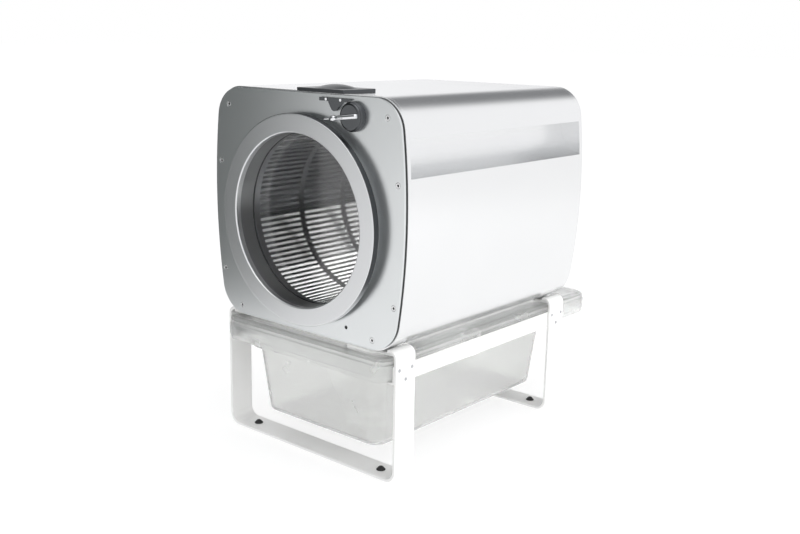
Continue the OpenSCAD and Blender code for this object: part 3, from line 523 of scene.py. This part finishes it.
# ---------------------------------------------------------------------------------------------
# Inside the housing: white chute sheets, the bulkhead, the gear motor, its belt and the control
# box, the seal round the mouth and the two rollers that carry the drum.
white_sheet = finish_material("white_sheet", (0.88, 0.88, 0.87), POWDER,
                              {"Gloss": 0.35, "Peel": 900.0}, 0.00001)
dark_metal = finish_material("dark_anodised", (0.075, 0.078, 0.085), METAL,
                             {"Gloss": 0.24, "Smudge": 0.1}, 0.000003, 1.0, tone=(0.11, 0.115, 0.12))
motor_paint = finish_material("motor_paint", (0.09, 0.095, 0.1), POWDER,
                              {"Gloss": 0.3, "Peel": 500.0}, 0.00003)
grey_plastic = finish_material("grey_plastic", (0.62, 0.62, 0.6), SKIN, {"Gloss": 0.45}, 0.00001,
                               tone=(0.58, 0.58, 0.56))
dressed("chute_sheets", white_sheet, 0.2)
dressed("rear_bulkhead", dark_metal, None)
dressed("gear_motor", motor_paint, 0.8)
dressed("drive_belt", black_rubber, 0.2)
dressed("control_box", grey_plastic, 1.5)
dressed("mouth_seal", black_rubber, None)
for name in ("roller_left", "roller_right"):
    dressed(name, black_rubber, 0.5)

# ---------------------------------------------------------------------------------------------
# Drum: a slotted stainless tube on a turned collar at the front and a pressed disc with a hub
# at the rear. It turns on two rollers and on the shaft, which the belt drives.
AXIS = BASE_Z + 160
DRUM_R, DRUM_WALL, SLOTS, SLOT_W = 124.5, 1.5, 96, 4.0
cage_front, cage_back, first_slot, row_pitch, band = 22.0, 390.0, 33.0, 90.0, 10.0


def brushed_group():
    """Rolled and polished sheet: long fine streaks round the drum, and a slow tone change."""
    group, given, result, place = effect_group(
        "rolled_streaks", {"Gloss": 0.15, "Streak": 0.1}, ("Roughness", "Height", "Tone"))
    stretch = group.nodes.new("ShaderNodeMapping")
    stretch.inputs["Scale"].default_value = (60, 2600, 60)
    feed(group, stretch.inputs["Vector"], place)
    streak = texture(group, "Noise", stretch.outputs["Vector"], Scale=1.0)
    slow = texture(group, "Noise", place, Scale=18)
    feed(group, result["Roughness"], scaled_sum(group, streak, given["Streak"], given["Gloss"]))
    feed(group, result["Height"], streak)
    feed(group, result["Tone"], slow)
    return group


STREAKS = brushed_group()


def bar_parts():
    """SLOTS bars along the drum: one rounded section placed at each angle, run front to back."""
    pitch = 2 * np.pi * DRUM_R / SLOTS
    w, t = (pitch - SLOT_W) / 2, DRUM_WALL / 2 - 0.05
    section = rounded_corners([[-t, -w], [t, -w], [t, w], [-t, w]], 0.45, 2) + [DRUM_R - DRUM_WALL / 2, 0]
    a = np.linspace(0, 2 * np.pi, SLOTS, endpoint=False)[:, None]
    x = section[:, 0] * np.cos(a) - section[:, 1] * np.sin(a)
    z = section[:, 0] * np.sin(a) + section[:, 1] * np.cos(a) + AXIS
    n = section.shape[0]
    ends = np.array([cage_front + 1, cage_back - 0.5]) + origin_y
    points = np.stack(np.broadcast_arrays(x[:, None, :], ends[None, :, None], z[:, None, :]), -1)
    walls = loop_faces(2, n)[None] + (np.arange(SLOTS) * 2 * n)[:, None, None]
    return points.reshape(-1, 3), walls.reshape(-1, 4).tolist()


def hoop(y_start, width):
    """A plain band of the drum's sheet with soft edges, as a closed tube round the axis."""
    inner = DRUM_R - DRUM_WALL
    outline = rounded_corners([[inner, 0], [DRUM_R, 0], [DRUM_R, width], [inner, width]], 0.4, 2)
    return revolved(outline, (0, y_start + origin_y, AXIS), "y", 192, True)


bands = [hoop(cage_front, first_slot - cage_front)]
bands += [hoop(first_slot + k * row_pitch - band, band if k < 4 else band - 3) for k in range(1, 5)]
polished = finish_material("polished_stainless", (0.36, 0.36, 0.375), STREAKS,
                           {"Gloss": 0.24, "Streak": 0.12}, 0.000001, 1.0, tone=(0.31, 0.31, 0.325))
add_piece("drum_cage_slotted", join_parts([bar_parts(), *bands]), polished, "drum", ["drum_cage"])
disc_bead, disc_back = cage_back + 1.2, cage_back + 3
disc = open_round([(8, cage_back), (60, cage_back), (66, disc_bead), (112, disc_bead), (116, cage_back),
                   (DRUM_R, cage_back), (DRUM_R, disc_back), (116, disc_back), (112, disc_back),
                   (66, disc_back), (60, disc_back), (8, disc_back), (8, cage_back)], 1.2, 3)
add_piece("drum_rear_disc_pressed", revolved(disc, (0, origin_y, AXIS), "y", 160), polished, "drum",
          ["drum_rear_disc"])
turned = finish_material("turned_aluminium", (0.70, 0.71, 0.73), STREAKS,
                         {"Gloss": 0.2, "Streak": 0.12}, 0.000002, 1.0)
dressed("drum_collar", turned, 0.4)
for name in ("drum_hub", "drum_pulley", "motor_pulley"):
    dressed(name, turned, 0.4)

# ---------------------------------------------------------------------------------------------
# Door: a flat turned ring with a bright inner chamfer, on a dark spigot that plugs the mouth.
# A clear disc is held in the spigot by a seal and a screwed clamp.
ring_front = origin_y - 17
ring = rounded_corners([(121.3, 0), (144.6, 0), (146, 1.4), (146, 9), (120, 9), (120, 1.3)], 0.5, 3)
satin_ring = finish_material("satin_anodised_ring", (0.76, 0.77, 0.78), METAL,
                             {"Gloss": 0.28, "Grain": 3200.0, "Smudge": 0.04}, 0.000002, 1.0,
                             tone=(0.73, 0.74, 0.75))


def painted_shade_mask_group():
    """A mask for the ring wall's painted shade: 1 beyond a radius from the drum's axis and above a
    height, and 0 elsewhere.
    """
    group, given, result, place = effect_group(
        "painted_shade_mask", {"Radius": 0.1452, "Height": 0.225}, ("Mask",))
    shift, flat, span = [group.nodes.new("ShaderNodeVectorMath") for _ in range(3)]
    shift.operation, flat.operation, span.operation = "SUBTRACT", "MULTIPLY", "LENGTH"
    shift.inputs[1].default_value = (0, 0, AXIS * MM)
    flat.inputs[1].default_value = (1, 0, 1)
    far, reach, product = [group.nodes.new("ShaderNodeMath") for _ in range(3)]
    far.operation, reach.operation, product.operation = "GREATER_THAN", "ADD", "MULTIPLY"
    reach.inputs[1].default_value = 0.06
    split, rise = group.nodes.new("ShaderNodeSeparateXYZ"), group.nodes.new("ShaderNodeMapRange")
    rise.interpolation_type = "SMOOTHSTEP"
    for socket, source in (
        (shift.inputs[0], place), (flat.inputs[0], shift.outputs["Vector"]),
        (span.inputs[0], flat.outputs["Vector"]), (far.inputs[0], span.outputs["Value"]),
        (far.inputs[1], given["Radius"]), (split.inputs["Vector"], place),
        (rise.inputs["Value"], split.outputs["Z"]), (rise.inputs["From Min"], given["Height"]),
        (reach.inputs[0], given["Height"]), (rise.inputs["From Max"], reach.outputs[0]),
        (product.inputs[0], far.outputs[0]), (product.inputs[1], rise.outputs["Result"]),
        (result["Mask"], product.outputs[0]),
    ):
        feed(group, socket, source)
    return group


# The ring's outer wall gets painted shade, a dark colour, but for a bare bright stretch low down
ring_nodes, ring_links = satin_ring.node_tree.nodes, satin_ring.node_tree.links
mask = ring_nodes.new("ShaderNodeGroup")
mask.node_tree = painted_shade_mask_group()
shade = ring_nodes.new("ShaderNodeMix")
shade.data_type = "RGBA"
# Painted shade: the dark colour laid on the ring's outer wall above its low bright stretch
shade.inputs["B"].default_value = (0.07, 0.074, 0.078, 1)
old = ring_nodes["Principled BSDF"].inputs["Base Color"].links[0].from_socket
ring_links.new(mask.outputs["Mask"], shade.inputs["Factor"])
ring_links.new(old, shade.inputs["A"])
ring_links.new(shade.outputs["Result"], ring_nodes["Principled BSDF"].inputs["Base Color"])
add_piece("door_ring_turned", revolved(ring, (0, ring_front, AXIS), "y", 192, True), satin_ring,
          "door", ["door_ring"])
bore_metal = finish_material("bore_anodised", (0.36, 0.365, 0.37), METAL,
                             {"Gloss": 0.3, "Smudge": 0.08}, 0.000003, 1.0, tone=(0.36, 0.365, 0.37))
spigot = rounded_corners([(120, -8), (138.4, -8), (138.4, 19.5), (124, 19.5), (124, 15), (120, 15)],
                         0.3, 2)
add_piece("door_spigot_turned", revolved(spigot, (0, origin_y, AXIS), "y", 192, True), bore_metal,
          "door", ["door_spigot"])


def clear_material(name, colour, roughness, transmission, alpha=1.0, ior=1.5):
    """A clear or hazy moulded plastic: a faint flow texture moves its gloss."""
    material = bpy.data.materials.new(name)
    material.use_nodes = True
    tree = material.node_tree
    shader = tree.nodes["Principled BSDF"].inputs
    shader["Base Color"].default_value = (*colour, 1)
    shader["Transmission Weight"].default_value = transmission
    shader["IOR"].default_value = ior
    shader["Alpha"].default_value = alpha
    place = tree.nodes.new("ShaderNodeTexCoord").outputs["Object"]
    flow = texture(tree, "Noise", place, Scale=22, Detail=3)
    feed(tree, shader["Roughness"], scaled_sum(tree, flow, 0.08, roughness))
    relief = tree.nodes.new("ShaderNodeBump")
    relief.inputs["Distance"].default_value = 0.00002
    feed(tree, relief.inputs["Height"], flow)
    feed(tree, shader["Normal"], relief.outputs["Normal"])
    return material


window_clear = clear_material("window_clear", (0.97, 0.98, 0.98), 0.02, 1.0)
pane = open_round([(0, 15), (124, 15), (124, 18), (0, 18)], 0.5, 2)
add_piece("door_window_pane", revolved(pane, (0, origin_y, AXIS), "y", 160), window_clear, "door",
          ["door_window"])
dressed("window_seal", black_rubber, None)
dressed("window_clamp", polished, 0.3)

# ---------------------------------------------------------------------------------------------
# Lock: a dark turned boss beside the ring, with a chromed disc and a bar lever that ends in a
# ball and a bright tongue. A hooked keeper is screwed to the plate's top edge beside it.
chrome = finish_material("chrome", (0.86, 0.87, 0.89), METAL,
                         {"Gloss": 0.03, "Smudge": 0.05}, 0.000001, 1.0)
# Chrome whose colour is painted dark: a painted dark reflection on the lever's disc and on the keeper
chrome_painted_reflection = finish_material("chrome_painted_reflection", (0.10, 0.105, 0.11), METAL,
                              {"Gloss": 0.06, "Smudge": 0.08}, 0.000001, 1.0)
lock_x, lock_z, lever_y = 95.5, 492.5, origin_y - 12.7
boss = rounded_corners([(3.05, -8), (17.6, -8), (19.5, -6.4), (19.5, 0), (3.05, 0)], 0.6, 3)
add_piece("lock_boss_turned", revolved(boss, (lock_x, origin_y, lock_z), "y", 96, True), dark_metal,
          "housing", ["lock_boss"])
tilt = math.radians(7)


def lever_bar(profile, steps=40):
    """A profile of (radius, distance) turned about the lever's own line, which leans down by tilt."""
    points, faces = revolved(profile, (0, 0, 0), "z", steps)
    dist = points[:, 2]
    x = lock_x - dist * math.cos(tilt) + points[:, 0] * math.sin(tilt)
    z = lock_z - dist * math.sin(tilt) - points[:, 0] * math.cos(tilt)
    return np.stack([x, points[:, 1] + lever_y, z], 1), faces


face = open_round([(0, -10.7), (15.4, -10.7), (17.2, -10.0), (18.0, -8.5), (18.0, -8.3), (3.0, -8.3),
                   (3.0, 6.7), (0, 6.7)], 0.35, 3)
bar = [(0, -15.3), (2.6, -15.3), (3.5, -13.2), (3.6, -8.0), (3.6, 6.0), (3.1, 17.5), (2.8, 20.5),
       (3.1, 22.0), (4.0, 24.2), (4.25, 26.5), (3.9, 29.0), (2.4, 31.0), (1.6, 32.5), (1.6, 42.6),
       (0, 43.0)]
add_piece("lock_lever_disc", revolved(face, (lock_x, origin_y, lock_z), "y", 96), chrome_painted_reflection, "lock",
          ["lock_lever"])
add_piece("lock_lever_bar", lever_bar(open_round(bar, 0.6, 3)), chrome, "lock", ["lock_lever"])
dressed("lock_keeper", chrome_painted_reflection, 0.5)
dressed("keeper_screws", chrome, 0.2)

# ---------------------------------------------------------------------------------------------
# Top cover and button: a dark plate lies on the shell's front edge round a domed button, which
# a small coil spring holds up.
dressed("latch_cover", dark_metal, 0.6)
button_x, button_y, shell_top = 40.0, 23.0 + origin_y, BASE_Z + HOUSING_H
crown_r = np.linspace(26, 0, 12)
crown = np.concatenate([[[0, 7.5], [9, 7.5], [9, 3.65], [26.4, 3.65], [26.8, 4.05], [26.8, 5.2]],
                        np.stack([crown_r, 5 + 5 * (1 - (crown_r / 27) ** 2)], 1)])
button_part = revolved(open_round(crown, 0.2, 2), (button_x, button_y, shell_top), "z", 96)
add_piece("release_button_domed", button_part, dark_metal, "button", ["release_button"])


def coil_part(radius, wire, low, high, turns, steps=180, sides=10):
    """A wire of round section wound on a helix, with its two ends capped."""
    t = np.linspace(0, 1, steps)[:, None]
    a, b = 2 * np.pi * turns * t, np.linspace(0, 2 * np.pi, sides, endpoint=False)[None, :]
    r = radius + wire / 2 * np.cos(b)
    grid = np.stack([r * np.cos(a), r * np.sin(a), low + (high - low) * t + wire / 2 * np.sin(b)], -1)
    last = (steps - 1) * sides
    caps = [list(range(sides)), list(range(last, last + sides))]
    return grid.reshape(-1, 3) + [button_x, button_y, 0], [*loop_faces(steps, sides).tolist(), *caps]


coil = coil_part(6.5, 0.9, shell_top + 1.45, shell_top + 7.05, 3)
spring = add_piece("button_spring_wound", coil, plain_steel, "housing", ["button_spring"])
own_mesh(spring)

# ---------------------------------------------------------------------------------------------
# Bin: a thin-walled, slightly hazy moulded tub with drawn-in walls, wider shoulders at its
# corners and a turned-down rim, which hangs on the rails and slides out to the front.
CORNER_REACH, STEP_RUN = 58, 4


def tub_outline(half, y0, y1, r, shoulder=0.0, count=60):
    """A rounded rectangle as 4 sides and 4 corners of count points each; within CORNER_REACH of a
    corner it steps out by shoulder, over about STEP_RUN."""
    side = np.linspace(0, 1, count, endpoint=False)
    corners = [(half - r, y1 - r, 0), (-half + r, y1 - r, 90),
               (-half + r, y0 + r, 180), (half - r, y0 + r, 270)]
    runs = []
    for k, (cx, cy, a0) in enumerate(corners):
        a = np.radians(a0 + 90 * side)
        runs.append(np.stack([cx + r * np.cos(a), cy + r * np.sin(a)], 1))
        nx, ny, _ = corners[(k + 1) % 4]
        a1 = math.radians(a0 + 90)
        start = np.array([cx + r * math.cos(a1), cy + r * math.sin(a1)])
        end = np.array([nx + r * math.cos(a1), ny + r * math.sin(a1)])
        runs.append(start + (end - start) * side[:, None])
    line = np.concatenate(runs)
    if shoulder:
        middle = np.array([0, (y0 + y1) / 2])
        size = np.array([half, (y1 - y0) / 2])
        near = np.clip((np.abs(line - middle) - (size - CORNER_REACH)) / STEP_RUN, 0, 1)
        corner = near.prod(1, keepdims=True)
        unit = (line - middle) / size
        edge = np.abs(unit) ** 8
        push = np.sign(unit) * edge / np.maximum(edge.max(1, keepdims=True), 1e-9) * shoulder
        line = line + push * corner
    return line


def stacked(levels, closed=False):
    """A surface through closed outlines, each at a height; closed joins the last to the first."""
    grid = np.stack([np.column_stack([line, np.full(len(line), z)]) for z, line in levels])
    return grid.reshape(-1, 3), loop_faces(*grid.shape[:2], closed).tolist()


FLOOR_Z, RIM_Z, DRAFT, WALL = 32.0, 177.8, 14.0, 2.4
TUB_HALF, TUB_FRONT, TUB_BACK, TUB_R = 129.0, 16.0, 434.0, 22.0
SHOULDER, SHOULDER_START = 10, 9.6
RIM_HALF, RIM_FRONT, RIM_BACK = 158.4, -9.9, 509.9


def tub_level(z, inset, shoulder):
    """The tub's outline at height z: DRAFT in all from rim to floor, less a wall inset."""
    k = (RIM_Z - z) / (RIM_Z - FLOOR_Z) * DRAFT + inset
    return z, tub_outline(TUB_HALF - k, TUB_FRONT + k + origin_y, TUB_BACK - k + origin_y, TUB_R - inset,
                          shoulder)


def floor_rings(z, inset):
    """The rounded turn from wall to floor: outlines that draw in by a quarter circle of 8 mm."""
    rings = []
    for a in np.radians([90, 67, 45, 22, 0]):
        rings.append(tub_level(z + 8 * (1 - math.cos(a)), inset + 8 * (1 - math.sin(a)), 0))
    return rings[::-1]


def rim_line(inset):
    """The turned-down rim's outline drawn in by inset all round."""
    return tub_outline(RIM_HALF - inset, RIM_FRONT + origin_y + inset, RIM_BACK + origin_y - inset,
                       TUB_R - inset)


outside = floor_rings(FLOOR_Z, 0)
outside += [tub_level(z, 0, step) for z, step in (
    (60, 0), (100, 0), (133.5, 0), (135.5, SHOULDER_START), (137, SHOULDER), (172, SHOULDER),
    (175.2, SHOULDER))]
turned_rim = [(z, rim_line(inset)) for z, inset in (
    (175.2, 2.6), (149.0, 2.6), (147.3, 1.8), (147.3, 0.6), (148.2, 0), (176.6, 0), (RIM_Z, 1.2))]
inside = [tub_level(RIM_Z, WALL - 1.2, SHOULDER)]
inside += [tub_level(z, WALL, step) for z, step in (
    (176.8, SHOULDER), (139.4, SHOULDER), (137.9, SHOULDER_START), (135.9, 0), (100, 0), (60, 0))]
inside += floor_rings(FLOOR_Z + WALL, WALL)[::-1]
grid, faces = stacked([*outside, *turned_rim, *inside])
n = len(outside[0][1])
last = len(grid) - n
tub = (grid, [*faces, list(range(n)), list(range(last, last + n))])
hazy = clear_material("hazy_tub", (0.925, 0.93, 0.92), 0.22, 0.84, alpha=0.8, ior=1.3)
add_piece("bin_tub", tub, hazy, "catch_bin", ["bin"])

# ---------------------------------------------------------------------------------------------
# Lid: a clear moulded tray lid that lies on the bin's rim. Its skirt steps in near the top, and
# a raised lip runs round the opening that the chute drops through.


LID_HALF, LID_FRONT, LID_BACK, LID_R = 160.5, -12, 512, 24
HOLE_HALF, HOLE_FRONT, HOLE_BACK, HOLE_R = 105, 30, 400, 4


def lid_line(inset):
    """The lid's outline drawn in by inset all round."""
    return tub_outline(LID_HALF - inset, LID_FRONT + inset + origin_y, LID_BACK - inset + origin_y,
                       max(LID_R - inset, 3))


def hole_line(grow):
    """The lid's opening, grown by grow all round."""
    return tub_outline(HOLE_HALF + grow, HOLE_FRONT - grow + origin_y, HOLE_BACK + grow + origin_y,
                       HOLE_R + grow)


lid_outside = [(z, lid_line(inset)) for z, inset in (
    (154.3, 1.5), (154.0, 1.0), (154.3, 0.2), (155.5, 0), (169.0, 0), (170.6, 0.5), (171.4, 1.8),
    (171.8, 4.0), (173.0, 5.2), (176.8, 5.4), (179.2, 6.4), (180.4, 8.8), (180.5, 12))]
lid_lip = [(z, hole_line(grow)) for z, grow in ((180.5, 1.9), (181.8, 1.6), (181.8, 0.2), (178.0, 0))]
lid_inside = [(z, lid_line(inset)) for z, inset in (
    (178.0, 11), (177.7, 8.5), (176.0, 7.0), (171.5, 6.8), (170.4, 5.6), (170.0, 2.6), (168.6, 1.8),
    (156, 1.8))]
lid = stacked([*lid_outside, *lid_lip, *lid_inside], closed=True)
clear = clear_material("clear_lid", (0.975, 0.985, 0.985), 0.03, 0.97, alpha=0.45, ior=1.3)
add_piece("bin_lid_moulded", lid, clear, "catch_bin", ["bin_lid"])

# ---------------------------------------------------------------------------------------------
# Rear controls: a mains inlet, a rocker switch in its bezel and a speed dial, all moulded in
# black plastic and clipped or nutted into the rear plate.
black_plastic = finish_material("black_plastic", (0.018, 0.018, 0.02), SKIN, {"Gloss": 0.42}, 0.00001,
                                tone=(0.026, 0.026, 0.028))
for name in ("power_inlet", "switch_bezel", "switch_rocker"):
    dressed(name, black_plastic, 0.4)
dressed("speed_dial", black_plastic, 0.5)
